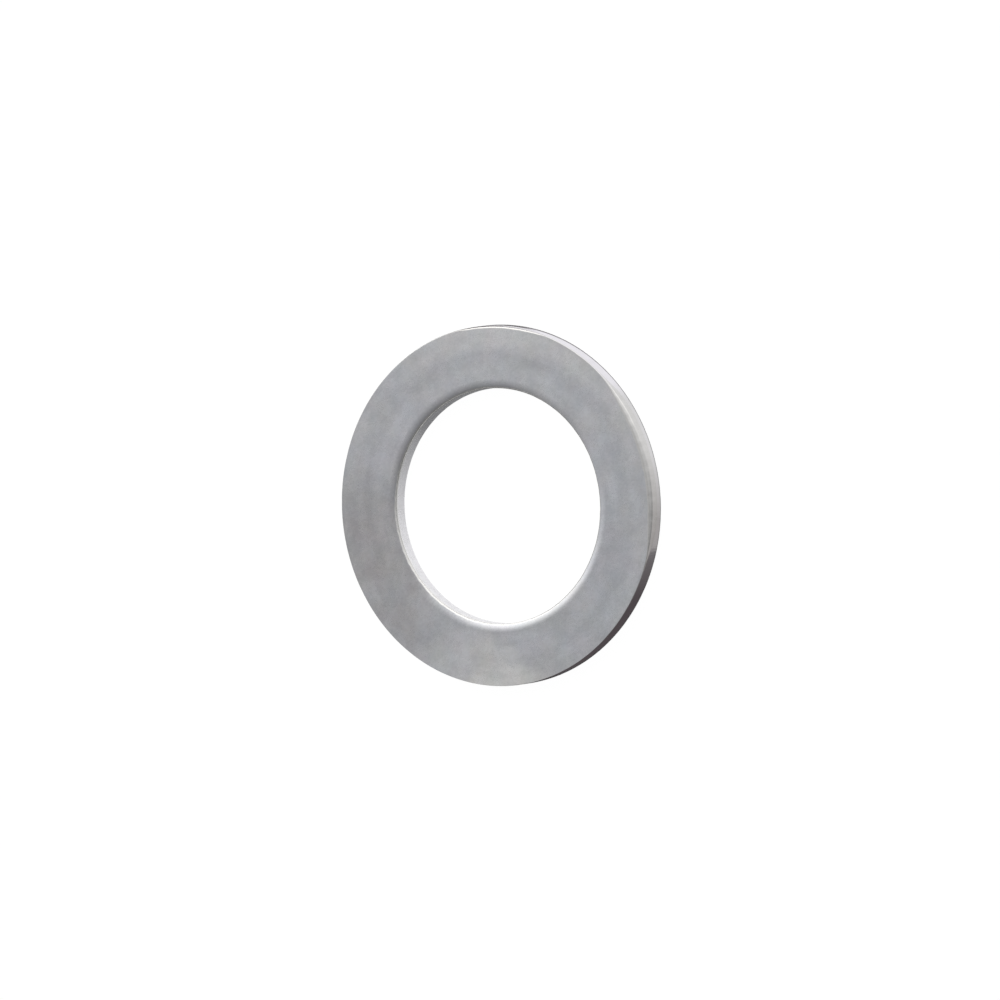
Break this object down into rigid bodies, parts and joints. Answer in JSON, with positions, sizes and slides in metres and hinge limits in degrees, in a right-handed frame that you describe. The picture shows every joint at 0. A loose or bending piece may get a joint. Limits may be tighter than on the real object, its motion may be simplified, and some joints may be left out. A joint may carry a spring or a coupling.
{
  "type": "retainer washer",
  "caption": "Flat round steel washer: a plain ring with a wide bore, rolled over at the top of the bore and square at the top of the rim.",
  "frame": {"origin": "centre of the bore on the lower face", "axes": "+Z along the bore axis, out of the face with the rolled-over bore edge; the ring is round, so +X and +Y are free"},
  "size_m": [0.032, 0.032, 0.0016],
  "materials": {
    "steel": "satin, tumbled bare steel"
  },
  "bodies": {
    "root": {"retainer_washer": "steel"}
  },
  "joints": []
}
